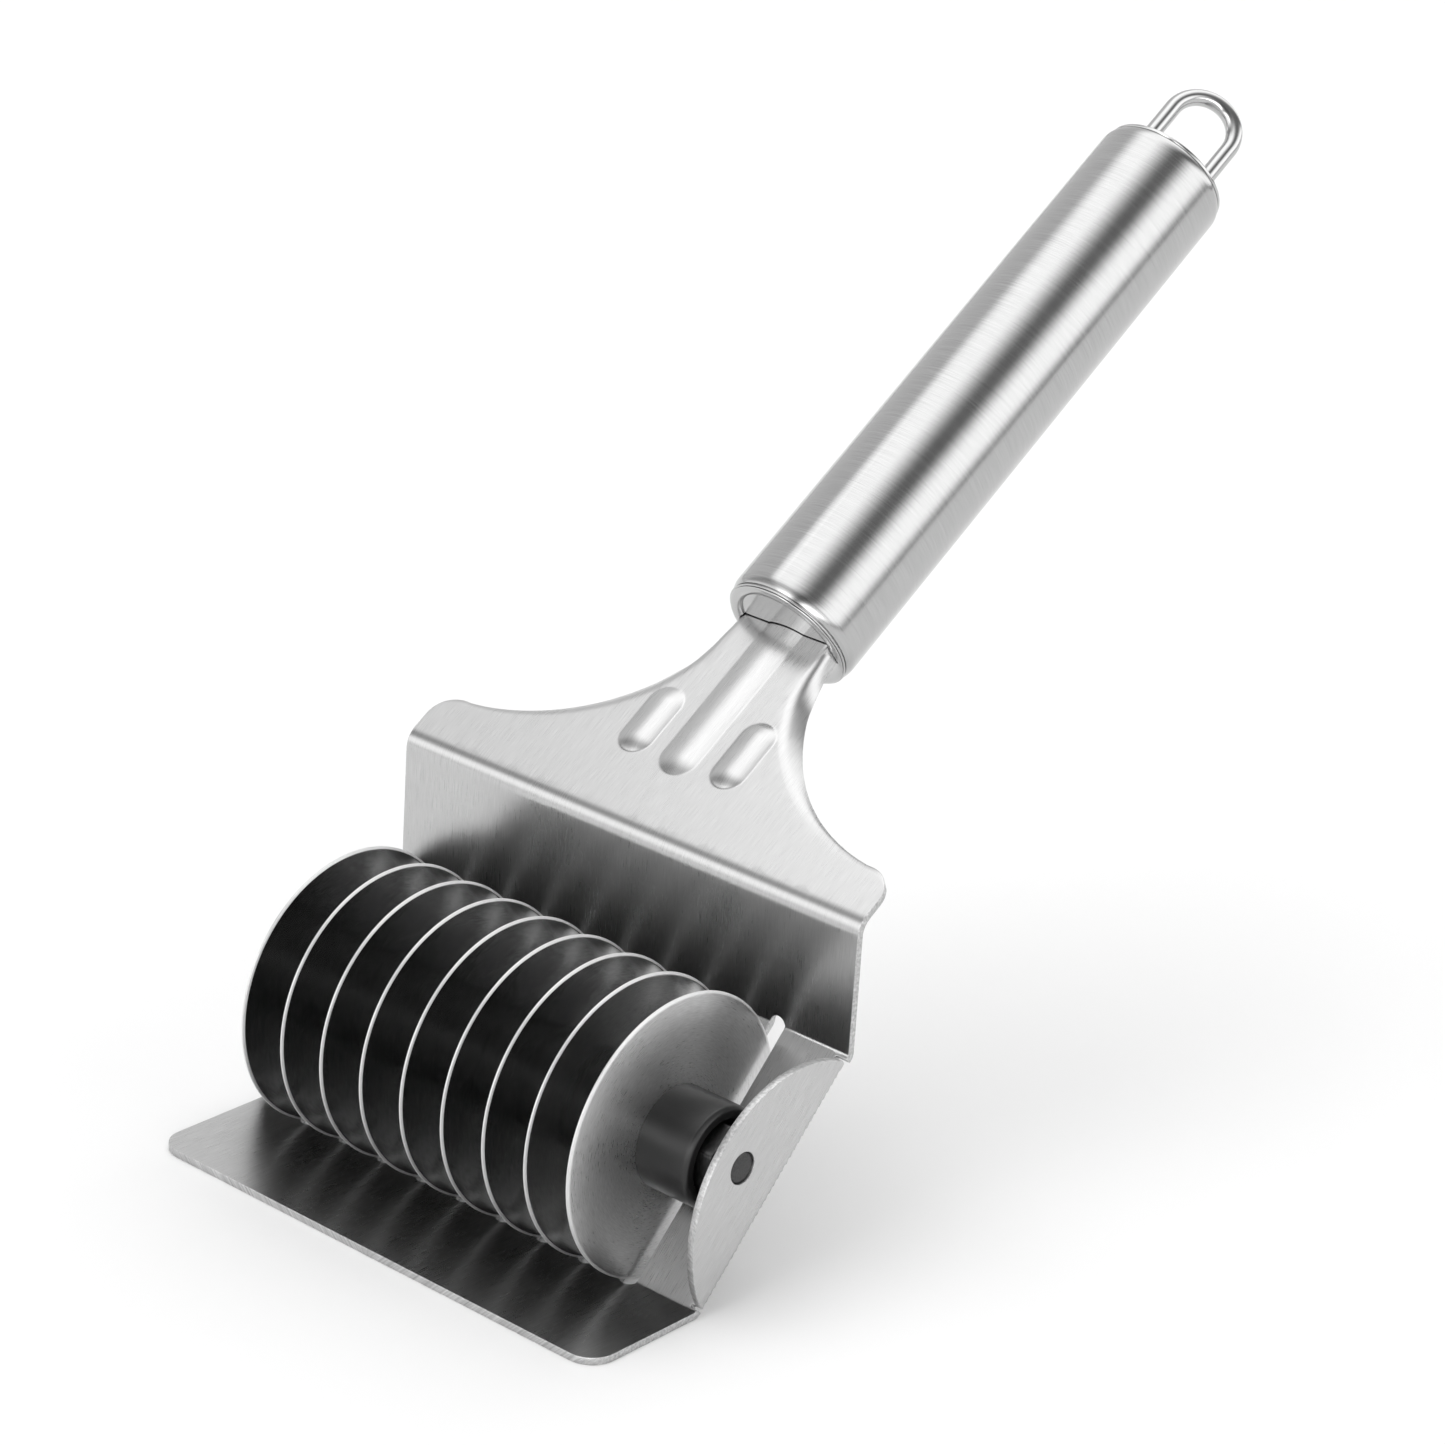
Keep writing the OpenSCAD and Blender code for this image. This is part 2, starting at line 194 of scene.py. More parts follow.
front_run, back_run = -EAR_FRONT - EAR_MID, EAR_BACK - EAR_MID
rim0 = math.degrees(math.atan2(math.sqrt(EAR_RIM ** 2 - front_run ** 2), front_run))
rim1 = math.degrees(math.atan2(math.sqrt(EAR_RIM ** 2 - back_run ** 2), back_run))
for run, height in arc(EAR_MID, -EAR_DROP, EAR_RIM, rim0, rim1, 72):
    right.append((EAR_FOLD_X + ear_q(height), u_of_run(run)))
right += [(EAR_FOLD_X + EAR_FOLD_R * math.pi / 2 * i / 5, EAR_U1) for i in range(5, -1, -1)]
right += arc(EAR_CORNER_X, EAR_U1 + EAR_CORNER_R, EAR_CORNER_R, -90, -270, 9)
right += [(45.3, EAR_U1 + 0.5), (46.0, EAR_U1 + 0.51), (half, EAR_U1 + 0.52)]
right += [(half, v) for v in ROWS_2] + [(half, v) for v in span(U_D, U_E, 1.3)[1:]]
right += [(half, v) for v in ROWS_3[1:]]
flat_top = u_of_neck(SHOULDER_S - SHOULDER_R)
right += [(half, v) for v in span(U_F, flat_top, 1.0)[1:]]
right += arc(half - SHOULDER_R, flat_top, SHOULDER_R, 0, 90, 16)[1:]
waist_x = TANG_W / 2 + WAIST_R
drop = WAIST_S - SHOULDER_S
start = math.degrees(math.atan2(-drop, -math.sqrt(WAIST_R ** 2 - drop ** 2))) % 360
right += arc(waist_x, u_of_neck(WAIST_S), WAIST_R, start, 180, 60)
right += [(TANG_W / 2, v) for v in span(u_of_neck(WAIST_S), U_END, 1.2)[1:]]
right += [(x, U_END) for x in span(TANG_W / 2, 0, 1.6)[1:]]
outline = right + [(-x, v) for x, v in reversed(right[1:-1])]
slots = []
for xc in CUTTERS:
    r = SLOT_W / 2
    top = U_D - t2
    loop = arc(xc, LIP_LEN, r, 180, 360, 17)
    loop = [q for q in loop if q[1] < U_A - 0.05]
    side = ROWS_1 + span(U_B, U_C, 1.25)[1:-1] + ROWS_2
    end = [q for q in arc(xc, top, r, 0, 180, 17) if q[1] > U_D + 0.05]
    loop += [(xc + r, v) for v in side] + end + [(xc - r, v) for v in reversed(side)]
    slots.append(loop[::-1])
holes = []
for sgn in (-1, 1):
    cx = sgn * (EAR_FOLD_X + ear_q(FLOOR_TO_AXLE))
    holes.append(arc(cx, u_of_run(0), EAR_HOLE_R, 0, 360 - 7.5, 48)[::-1])


def edge_turn(v):
    """How the sheet's edge is turned down along the blank: degrees, flat outside the turn, and radius."""
    s = v - U_F + t3 if v > U_F else 0.0
    turn = np.interp(s, (7.5, 10.5, 14, 24, 30, 38, 42, 56), (0, 30, 35, 37, 41, 70, 80, 82))
    flat = np.interp(s, (7.5, 10.5, 14, 20, 26, 32, 38, 42, 56), (0.15, 0.5, 0.9, 1.7, 2.2, 2.1, 1.7, 1.6, 1.6))
    bend = np.interp(s, (10, 16, 24, 30, 38), (1.5, 2.4, 3.0, 2.8, 1.6))
    return float(turn), float(flat), float(bend)


def edge_reach(v):
    """How far in from the outline the flat of the sheet starts."""
    turn, flat, bend = edge_turn(v)
    return bend * math.sin(rad(turn)) + flat * math.cos(rad(turn))


def edge_profile(v, grow=0.0):
    """A cut or turned-down edge in section, from the sheet's upper face round to its lower face."""
    turn, flat, bend = edge_turn(v)
    reach, a, e = edge_reach(v), rad(turn), EDGE_R
    back, down = np.array([math.cos(a), math.sin(a)]), np.array([math.sin(a), -math.cos(a)])
    mid = np.array([reach, -bend])

    def on_arc(radius, share):
        return mid + radius * np.array([-math.sin(a * share), math.cos(a * share)])

    upper, lower = bend + grow, bend - SHEET_T - grow
    tip = on_arc(upper, 1) - back * (flat + grow)
    foot = tip + down * (SHEET_T + 2 * grow)
    pts = [on_arc(upper, k / 6) for k in range(1, 7)]
    pts += [tip + back * e, tip + (back + down) * e * 0.29, tip + down * e]
    pts += [foot - down * e, foot + (back - down) * e * 0.29, foot + back * e]
    pts += [on_arc(lower, k / 6) for k in range(6, 0, -1)]
    return [tuple(q) for q in pts]


def build_sheet():
    loops = [outline] + slots + holes
    xy, edges, rings = [], [], []
    for loop in loops:
        q = np.array(loop)
        keep = [0]
        for i in range(1, len(q)):
            if np.hypot(*(q[i] - q[keep[-1]])) > 0.01:
                keep.append(i)
        q = q[keep]
        d = np.roll(q, -1, 0) - q
        d /= np.hypot(d[:, 0], d[:, 1])[:, None]
        nrm = np.stack([-d[:, 1], d[:, 0]], 1)
        both = nrm + np.roll(nrm, 1, 0)
        both /= np.hypot(both[:, 0], both[:, 1])[:, None]
        scale = 1 / np.maximum((both * nrm).sum(1), 0.7)
        n = both * scale[:, None]
        reach = np.array([edge_reach(v) for v in q[:, 1]])
        base = len(xy)
        inner = q + n * reach[:, None]
        xy += [tuple(v) for v in inner]
        edges += [(base + i, base + (i + 1) % len(q)) for i in range(len(q))]
        rings.append((base, q, n, reach))
    count = len(xy)
    border = np.array(xy)

    # points inside
    pts = []
    cols = []
    for i in range(8):
        a, b = CUTTERS[i] + SLOT_W / 2 + EDGE_R, CUTTERS[i + 1] - SLOT_W / 2 - EDGE_R
        cols += [a + (b - a) * k / 6 for k in range(1, 6)]
    cols += span(CUTTERS[0] - SLOT_W / 2 - EDGE_R, -EAR_FOLD_X, 1.2)[1:]
    cols += span(CUTTERS[8] + SLOT_W / 2 + EDGE_R, EAR_FOLD_X, 1.2)[1:]
    wide = cols + CUTTERS + [sgn * v for sgn in (-1, 1) for v in (45.8, 46.3)]
    rows = span(0.6, U_A, 1.3)[:-1] + ROWS_1 + span(U_B, U_C, 1.25)[1:-1] + ROWS_2
    rows += span(U_D, U_E, 1.3)[1:-1] + ROWS_3
    for v in rows:
        pts += [(x, v) for x in wide]
    for v in span(EAR_U0, EAR_U1, 1.25)[1:-1]:
        for sgn in (-1, 1):
            pts += [(sgn * (EAR_FOLD_X + EAR_FOLD_R * math.pi / 2 * k / 5), v) for k in range(6)]
            pts += [(sgn * (EAR_FOLD_X + ear_q(hh)), v) for hh in span(1.6, 15.2, 1.3)]
    for s in span(t3 + 0.8, NECK_LEN + TANG_IN, 1.5):
        pts += [(x, u_of_neck(s)) for x in span(-46, 46, 1.5)]
    pts = np.array(pts)
    s = pts[:, 1] - U_F + t3
    near_rib = np.zeros(len(pts), bool)
    extra = []
    for cx, w, hh, e0, e1 in RIBS:
        near_rib |= np.hypot(pts[:, 0] - cx, s - np.clip(s, e0, e1)) < w / 2 * 1.5
        for share in (0.0, 0.18, 0.36, 0.54, 0.7, 0.82, 0.9, 0.95, 0.985, 1.02, 1.06, 1.12, 1.25):
            d = share * w / 2
            if share == 0:
                extra += [(cx, u_of_neck(v)) for v in span(e0, e1, 0.6)]
                continue
            m = max(12, int(math.pi * d / 0.28))
            extra += [(x, u_of_neck(v)) for x, v in arc(cx, e1, d, 0, 180, m)]
            extra += [(x, u_of_neck(v)) for x, v in arc(cx, e0, d, 180, 360, m)]
            for v in span(e0, e1, 0.6)[1:-1]:
                extra += [(cx - d, u_of_neck(v)), (cx + d, u_of_neck(v))]
    pts = np.concatenate([pts[~near_rib], np.array(extra)])

    def inside(q, loop):
        a, b = loop, np.roll(loop, -1, 0)
        hit = np.zeros(len(q), bool)
        for (x0, y0), (x1, y1) in zip(a, b):
            if y0 == y1:
                continue
            cross = (q[:, 1] >= min(y0, y1)) & (q[:, 1] < max(y0, y1))
            hit ^= cross & (q[:, 0] < x0 + (q[:, 1] - y0) * (x1 - x0) / (y1 - y0))
        return hit

    ringed = [border[b:b + len(q)] for b, q, _, _ in rings]

    def in_sheet(q):
        ok = inside(q, ringed[0])
        for loop in ringed[1:]:
            ok &= ~inside(q, loop)
        return ok

    pts = pts[in_sheet(pts)]
    near = np.full(len(pts), 1e9)
    for b in range(0, count, 200):
        part = border[b:b + 200]
        apart = pts[:, None, :] - part[None, :, :]
        near = np.minimum(near, np.hypot(apart[:, :, 0], apart[:, :, 1]).min(1))
    pts = pts[near > 0.3]
    every = [Vector(v) for v in xy] + [Vector(v) for v in pts]
    vs, _, tris, back, _, _ = geometry.delaunay_2d_cdt(every, edges, [], 0, 1e-6, True)
    flat = np.array([tuple(v) for v in vs])
    where = {}
    for new, olds in enumerate(back):
        for old in olds:
            where[old] = new
    tris = np.array([t for t in tris if len(t) == 3])
    tris = tris[in_sheet(flat[tris].mean(1))]
    n_flat = len(flat)
    lift = rib_height(flat[:, 0], flat[:, 1])
    upper = bent(flat[:, 0], flat[:, 1], lift)
    lower = bent(flat[:, 0], flat[:, 1], lift * 0.92 - SHEET_T)
    co = [upper, lower]
    grain = [flat, flat]
    faces = [tuple(t) for t in tris] + [(t[0] + n_flat, t[2] + n_flat, t[1] + n_flat) for t in tris]
    at = 2 * n_flat
    cut = set()
    for base, q, n, reach in rings:
        m = len(q)
        prof = np.array([edge_profile(v) for v in q[:, 1]])
        k = prof.shape[1]
        flat_x = q[:, None, 0] + n[:, None, 0] * prof[:, :, 0]
        flat_u = q[:, None, 1] + n[:, None, 1] * prof[:, :, 0]
        flat_x, flat_u, depth = flat_x.ravel(), flat_u.ravel(), prof[:, :, 1].ravel()
        co.append(bent(flat_x, flat_u, depth))
        grain.append(np.stack([flat_x - np.sign(flat_x) * depth, flat_u], 1))
        for i in range(m):
            j = (i + 1) % m
            a = [where[base + i]] + [at + i * k + c for c in range(k)] + [where[base + i] + n_flat]
            b = [where[base + j]] + [at + j * k + c for c in range(k)] + [where[base + j] + n_flat]
            for c in range(k + 1):
                faces.append((a[c], a[c + 1], b[c + 1], b[c]))
            cut.update(range(len(faces) - k - 1 + 7, len(faces) - k - 1 + 12))
        at += m * k
    return np.concatenate(co), np.concatenate(grain) * MM, faces, cut


def shown(name, co, faces, grain, body, nodes, material,
          sharp=38, loop_grain=None, second=None, is_second=None):
    """Makes a smooth-shaded mesh piece with a grain map, rides it on a body and lets it stand for CAD nodes."""
    bm = bmesh.new()
    uv = bm.loops.layers.uv.new("grain")
    verts = [bm.verts.new(c) for c in co]
    for k, f in enumerate(faces):
        ring = [verts[i] for i in f]
        if len(set(f)) < 3:
            continue
        try:
            face = bm.faces.new(ring)
        except ValueError:
            continue
        for c, loop in enumerate(face.loops):
            loop[uv].uv = loop_grain[k][c] if loop_grain is not None else grain[f[c]]
        if is_second and is_second(k):
            face.material_index = 1
    bmesh.ops.remove_doubles(bm, verts=bm.verts, dist=2e-7)
    bmesh.ops.dissolve_degenerate(bm, dist=1e-7, edges=bm.edges)
    bmesh.ops.delete(bm, geom=[v for v in bm.verts if not v.link_faces], context="VERTS")
    bmesh.ops.recalc_face_normals(bm, faces=bm.faces)
    mesh = bpy.data.meshes.new(name)
    bm.to_mesh(mesh)
    bm.free()
    for poly in mesh.polygons:
        poly.use_smooth = True
    mesh.set_sharp_from_angle(angle=rad(sharp))
    piece = bpy.data.objects.new(name, mesh)
    scene.collection.objects.link(piece)
    mesh.materials.append(material)
    if second:
        mesh.materials.append(second)
    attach(piece, body)
    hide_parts(*nodes)
    return piece


# ---------------------------------------------------------------- materials
def new_material(name):
    m = bpy.data.materials.new(name)
    m.use_nodes = True
    nodes, links = m.node_tree.nodes, m.node_tree.links
    return m, nodes, links, nodes["Principled BSDF"]


def brushed(name, tone, rough, aniso, across=7000.0, along=60.0, vary=0.12, bump=0.05, contrast=0.14):
    """Steel with fine brush lines. The lines run along the grain map's V, and the gloss spreads along its U."""
    m, nodes, links, b = new_material(name)
    uv = nodes.new("ShaderNodeUVMap")
    uv.uv_map = "grain"

    def streaks(su, sv, detail, seed):
        mp = nodes.new("ShaderNodeMapping")
        mp.inputs["Scale"].default_value = (su, sv, 1)
        mp.inputs["Location"].default_value = (seed, seed * 0.37, 0)
        n = nodes.new("ShaderNodeTexNoise")
        n.inputs["Scale"].default_value = 1.0
        n.inputs["Detail"].default_value = detail
        n.inputs["Roughness"].default_value = 0.6
        links.new(uv.outputs["UV"], mp.inputs["Vector"])
        links.new(mp.outputs["Vector"], n.inputs["Vector"])
        return n.outputs["Fac"]

    fine = streaks(across, along, 2.0, 3.1)
    broad = streaks(across / 6, along / 3, 2.0, 7.7)
    cloud = streaks(90, 60, 3.0, 1.3)

    def math_node(op, a, c, clamp=False):
        n = nodes.new("ShaderNodeMath")
        n.operation, n.use_clamp = op, clamp
        for i, v in enumerate((a, c)):
            if isinstance(v, float):
                n.inputs[i].default_value = v
            else:
                links.new(v, n.inputs[i])
        return n.outputs[0]

    mix = math_node("ADD", math_node("MULTIPLY", fine, 0.8), math_node("MULTIPLY", broad, 0.2))
    ramp = nodes.new("ShaderNodeValToRGB")
    e = ramp.color_ramp.elements
    lo, hi = tone * (1 - contrast), min(1.0, tone * (1 + contrast))
    e[0].position, e[0].color = 0.3, (lo, lo, lo, 1)
    e[1].position, e[1].color = 0.7, (hi, hi, hi, 1)
    links.new(mix, ramp.inputs["Fac"])
    links.new(ramp.outputs["Color"], b.inputs["Base Color"])
    streaked = math_node("MULTIPLY", math_node("SUBTRACT", mix, 0.5), vary * 2)
    clouded = math_node("MULTIPLY", math_node("SUBTRACT", cloud, 0.5), vary)
    spread = math_node("ADD", streaked, clouded)
    links.new(math_node("ADD", spread, rough, True), b.inputs["Roughness"])
    b.inputs["Metallic"].default_value = 1.0
    b.inputs["Anisotropic"].default_value = aniso
    t = nodes.new("ShaderNodeTangent")
    t.direction_type, t.uv_map = "UV_MAP", "grain"
    links.new(t.outputs["Tangent"], b.inputs["Tangent"])
    bp = nodes.new("ShaderNodeBump")
    bp.inputs["Strength"].default_value = bump
    bp.inputs["Distance"].default_value = 0.00004
    links.new(mix, bp.inputs["Height"])
    links.new(bp.outputs["Normal"], b.inputs["Normal"])
    return m


def plastic(name, tone, rough):
    m, nodes, links, b = new_material(name)
    tc = nodes.new("ShaderNodeTexCoord")
    n = nodes.new("ShaderNodeTexNoise")
    n.inputs["Scale"].default_value = 900.0
    n.inputs["Detail"].default_value = 4.0
    big = nodes.new("ShaderNodeTexNoise")
    big.inputs["Scale"].default_value = 120.0
    links.new(tc.outputs["Object"], n.inputs["Vector"])
    links.new(tc.outputs["Object"], big.inputs["Vector"])
    ramp = nodes.new("ShaderNodeValToRGB")
    e = ramp.color_ramp.elements
    e[0].position, e[0].color = 0.3, (tone * 0.8, tone * 0.8, tone * 0.8, 1)
    e[1].position, e[1].color = 0.75, (tone * 1.25, tone * 1.25, tone * 1.25, 1)
    links.new(big.outputs["Fac"], ramp.inputs["Fac"])
    links.new(ramp.outputs["Color"], b.inputs["Base Color"])
    rr = nodes.new("ShaderNodeMapRange")
    rr.inputs["To Min"].default_value = rough - 0.08
    rr.inputs["To Max"].default_value = rough + 0.08
    links.new(n.outputs["Fac"], rr.inputs["Value"])
    links.new(rr.outputs["Result"], b.inputs["Roughness"])
    bp = nodes.new("ShaderNodeBump")
    bp.inputs["Strength"].default_value = 0.12
    bp.inputs["Distance"].default_value = 0.00003
    links.new(n.outputs["Fac"], bp.inputs["Height"])
    links.new(bp.outputs["Normal"], b.inputs["Normal"])
    return m


sheet_steel = brushed("sheet_steel_brushed", 0.535, 0.285, 0.5,
                      across=8000, along=260, contrast=0.11, bump=0.03, vary=0.05)
handle_steel = brushed("handle_steel_brushed", 0.46, 0.20, 0.75,
                       across=8000, along=120, vary=0.07, contrast=0.12, bump=0.06)
cap_steel = brushed("cap_steel_polished", 0.50, 0.14, 0.3, bump=0.01, vary=0.04, contrast=0.04)
wire_steel = brushed("wire_steel_polished", 0.50, 0.17, 0.2,
                     across=5000, along=200, bump=0.01, vary=0.04, contrast=0.06)
cutter_steel = brushed("cutter_steel_turned", 0.50, 0.17, 0.6,
                       across=6000, along=500, contrast=0.16, bump=0.05, vary=0.08)
# A lighter, rougher copy of the cutter steel for the last cutter. Its lighter tone is painted light: the other
# cutters sit in their neighbours' shade, and this one does not.
end_cutter_lit_steel = brushed("end_cutter_painted_lit_steel", 0.60, 0.29, 0.6,
                           across=6000, along=500, contrast=0.14, bump=0.04, vary=0.06)
rod_steel = brushed("rod_steel_dark", 0.07, 0.42, 0.2, across=2500, along=700, contrast=0.3)
hub_plastic = plastic("hub_plastic_black", 0.008, 0.35)
cut_edge = brushed("cut_edge_ground", 0.50, 0.42, 0.0,
                   across=2200, along=2200, contrast=0.35, bump=0.25, vary=0.12)
# The cutters' ground rims are rougher than their faces. Their lighter tone is a painted highlight, standing in
# for the bright line of light along each rim.
cutter_rim_painted_highlight = brushed("cutter_rim_ground_painted_highlight", 0.72, 0.45, 0.0,
                      across=3000, along=900, contrast=0.05, bump=0.03, vary=0.05)


# ---------------------------------------------------------------- turned pieces
HANDLE_FRONT = crest + NECK_LEN * heading(na) - 1.0 * left(na)


def on_handle(a, p1, p2):
    """Along the handle's axis from its front seam, across it and up from it."""
    d, n = heading(na), left(na)
    y = HANDLE_FRONT[0] + a * d[0] + p2 * n[0]
    z = HANDLE_FRONT[1] + a * d[1] + p2 * n[1]
    return (p1 + AXLE[0]) * MM, (y + AXLE[1]) * MM, (z + AXLE[2]) * MM


def on_axle(a, p1, p2):
    return (a + AXLE[0]) * MM, (p1 + AXLE[1]) * MM, (p2 + AXLE[2]) * MM


def turned(name, profile, place, body, nodes, material, steps=144,
           start_turn=-90.0, closed=True, radius_at=None, sharp=38, second=None, from_r=1e9):
    """A solid of revolution from (along, radius) points, with its grain map's U along the profile."""
    m = len(profile)
    run = [0.0]
    ring = profile + [profile[0]]
    for i in range(m):
        run.append(run[-1] + math.hypot(ring[i + 1][0] - ring[i][0], ring[i + 1][1] - ring[i][1]))
    big = max(r for _, r in profile)
    co, faces, grains = [], [], []
    for j in range(steps):
        turn = rad(start_turn) + 2 * math.pi * j / steps
        for a, r in profile:
            rr = radius_at(a, r, turn) if radius_at else r
            co.append(place(a, rr * math.cos(turn), rr * math.sin(turn)))
    for j in range(steps):
        j2 = (j + 1) % steps
        v0, v1 = (2 * math.pi * k / steps * big * MM for k in (j, j + 1))
        for i in range(m if closed else m - 1):
            i2 = (i + 1) % m
            faces.append((j * m + i, j * m + i2, j2 * m + i2, j2 * m + i))
            g0, g1 = run[i] * MM, run[i + 1] * MM
            grains.append([(g0, v0), (g1, v0), (g1, v1), (g0, v1)])
    mids = [(profile[i][1] + profile[(i + 1) % m][1]) / 2 for i in range(m if closed else m - 1)]
    return shown(name, co, faces, None, body, nodes, material, sharp, grains, second,
                 lambda k: mids[k % len(mids)] > from_r)


def rounded(points, radius, n=3):
    """Rounds every corner of a closed profile. A corner may give its own radius as a third value."""
    out = []
    m = len(points)
    for i in range(m):
        p0, p1, p2 = (np.array(points[(i + d) % m][:2], float) for d in (-1, 0, 1))
        r = points[i][2] if len(points[i]) > 2 else radius
        a, b = p0 - p1, p2 - p1
        la, lb = np.hypot(*a), np.hypot(*b)
        if r <= 0 or la < 1e-6 or lb < 1e-6:
            out.append(tuple(p1))
            continue
        a, b = a / la, b / lb
        cut = min(r, la * 0.45, lb * 0.45)
        q0, q1 = p1 + a * cut, p1 + b * cut
        for k in range(n + 1):
            t = k / n
            out.append(tuple((1 - t) ** 2 * q0 + 2 * t * (1 - t) * p1 + t ** 2 * q1))
    return out


co, grain, faces, cut = build_sheet()
shown("frame_sheet_bent", co, faces, grain, "frame", ["frame_sheet"], sheet_steel, 40,
      second=cut_edge, is_second=lambda k: k in cut)

# cutters and the spacers between them
BORE_R, HUB_R = 3.05, 8.2
for i, x in enumerate(CUTTERS):
    t = CUTTER_T / 2
    # The last cutter takes the lighter copy: painted light, for a face that no neighbour shades.
    steel = end_cutter_lit_steel if i == len(CUTTERS) - 1 else cutter_steel
    prof = [(x - t, BORE_R, 0), (x - t, CUTTER_R - 0.45, 0.1), (x - 0.12, CUTTER_R, 0.04)]
    prof += [(x + 0.12, CUTTER_R, 0.04), (x + t, CUTTER_R - 0.45, 0.1), (x + t, BORE_R, 0)]
    # The rim rings take the lighter edge steel, a painted highlight along each cutter's edge.
    turned(f"cutter_{i + 1}", rounded(prof, 0, 3), on_axle, "roller", [f"cutter_disc_{i + 1}"],
           steel, 192, second=cutter_rim_painted_highlight, from_r=CUTTER_R - 0.2)
for i in range(8):
    a, b = CUTTERS[i] + CUTTER_T / 2, CUTTERS[i + 1] - CUTTER_T / 2
    prof = [(a, BORE_R, 0), (a, HUB_R, 0.15), (b, HUB_R, 0.15), (b, BORE_R, 0)]
    turned(f"spacer_{i + 1}", rounded(prof, 0.1), on_axle, "roller", [f"disc_spacer_{i + 1}"],
           hub_plastic, 96)

# end collars, each with a recess for the rod's head or the nut
STACK_L, STACK_R = -45.3, 42.9
RECESS_R, RECESS_T = 6.3, 2.7
ENDS = (("left", CUTTERS[0] - 0.3, STACK_L, -1), ("right", CUTTERS[8] + 0.3, STACK_R, 1))
for name, inner, outer, sgn in ENDS:
    seat = outer - sgn * RECESS_T
    prof = [(inner, BORE_R, 0), (inner, HUB_R, 0.1), (outer - sgn * 0.6, HUB_R, 0.25), (outer, 7.6, 0.25)]
    prof += [(outer, RECESS_R, 0.2), (seat, RECESS_R, 0.3), (seat, BORE_R, 0)]
    turned(name + "_end_collar", rounded(prof, 0.1), on_axle, "roller", [name + "_collar"],
           hub_plastic, 128)

# axle and nut
ROD_R, JOURNAL_R, HEAD_R, ROD_END, NUT_R = 3, 2.5, 5.8, 46.6, 45.2
prof = [(-ROD_END, 0, 0), (-ROD_END, JOURNAL_R, 0.5), (STACK_L, JOURNAL_R, 0), (STACK_L, HEAD_R, 0.3)]
prof += [(STACK_L + RECESS_T, HEAD_R, 0.1), (STACK_L + RECESS_T, ROD_R, 0), (NUT_R, ROD_R, 0.2)]
prof += [(NUT_R, JOURNAL_R, 0), (ROD_END, JOURNAL_R, 0.5), (ROD_END, 0, 0)]
turned("axle_rod", rounded(prof, 0), on_axle, "roller", ["axle"], rod_steel, 96, closed=False)


def nut_radius(a, r, turn):
    hexed = 5.0 / math.cos((turn + math.pi / 6) % (math.pi / 3) - math.pi / 6)
    return min(r, hexed) if r > 3.5 else r


prof = [(40.2, BORE_R), (40.2, 4.75), (40.35, 5.1), (40.6, 5.5), (40.9, 5.8)]
prof += [(44.5, 5.8), (44.8, 5.5), (45.05, 5.1), (45.2, 4.75), (45.2, BORE_R)]
turned("axle_hex_nut", prof, on_axle, "roller", ["axle_nut"], rod_steel, 144,
       radius_at=nut_radius, sharp=25, start_turn=0)

# handle
HANDLE_R, HANDLE_LEN = 11.4, 106.5
tube_end = HANDLE_LEN - 0.8


TUBE_T, FRONT_ROUND, REAR_ROUND = 0.6, 1.8, 1.6
FRONT_R, REAR_R = 3.5, 2.8
straight = 0.4 + FRONT_ROUND, tube_end - REAR_ROUND


def side_of(r, front_r, rear_r):
    """The tube's wall from its front to its rear end, where both ends are rounded in."""
    front = [(straight[0] - front_r * math.sin(a), r - front_r + front_r * math.cos(a))
             for a in np.linspace(math.asin(FRONT_ROUND / front_r), 0, 9)]
    rear = [(straight[1] + rear_r * math.sin(a), r - rear_r + rear_r * math.cos(a))
            for a in np.linspace(0, math.asin(REAR_ROUND / rear_r), 9)]
    middle = [(a, r) for a in span(2.2, straight[1], 6.0)[1:-1]]
    return front + middle + rear


outer = side_of(HANDLE_R, FRONT_R, REAR_R)
inner = side_of(HANDLE_R - TUBE_T, FRONT_R - TUBE_T, REAR_R - TUBE_T)
turned("handle_tube_round", outer + inner[::-1], on_handle, "frame", ["handle_tube"],
       handle_steel, 192)

# front cap: a recessed face, a domed rim and a thin bead against the tube
bead_r = HANDLE_R - FRONT_R + math.sqrt(FRONT_R ** 2 - FRONT_ROUND ** 2)
rim_r, face_r = bead_r - 0.15, 8.7
FACE_AT, RIM_AT, DOME_H = 0.15, -0.3, 0.5
dome = []
for k in range(17):
    a = math.pi * k / 16
    dome.append(((FACE_AT + (RIM_AT - FACE_AT) * k / 16) - DOME_H * math.sin(a),
                 (rim_r + face_r) / 2 - (rim_r - face_r) / 2 * math.cos(a)))


def carve(piece, co, faces, material):
    """Cuts a closed shape out of a piece. The cutter doesn't stay in the scene."""
    mesh = bpy.data.meshes.new("carve")
    mesh.from_pydata([tuple(c) for c in co], [], faces)
    bm = bmesh.new()
    bm.from_mesh(mesh)
    bmesh.ops.recalc_face_normals(bm, faces=bm.faces)
    bm.to_mesh(mesh)
    bm.free()
    mesh.materials.append(material)
    tool = bpy.data.objects.new("carve", mesh)
    scene.collection.objects.link(tool)
    mod = piece.modifiers.new("carve", "BOOLEAN")
    mod.operation, mod.solver, mod.object = "DIFFERENCE", "EXACT", tool
    depsgraph = bpy.context.evaluated_depsgraph_get()
    done = bpy.data.meshes.new_from_object(piece.evaluated_get(depsgraph))
    piece.modifiers.remove(mod)
    done.name = piece.name
    piece.data = done
    bpy.data.objects.remove(tool)
    for poly in done.polygons:
        poly.use_smooth = True
    done.set_sharp_from_angle(angle=rad(38))


def on_neck(x, s, t):
    d, n = heading(na), left(na)
    y, z = crest + s * d + t * n
    return (x + AXLE[0]) * MM, (y + AXLE[1]) * MM, (z + AXLE[2]) * MM


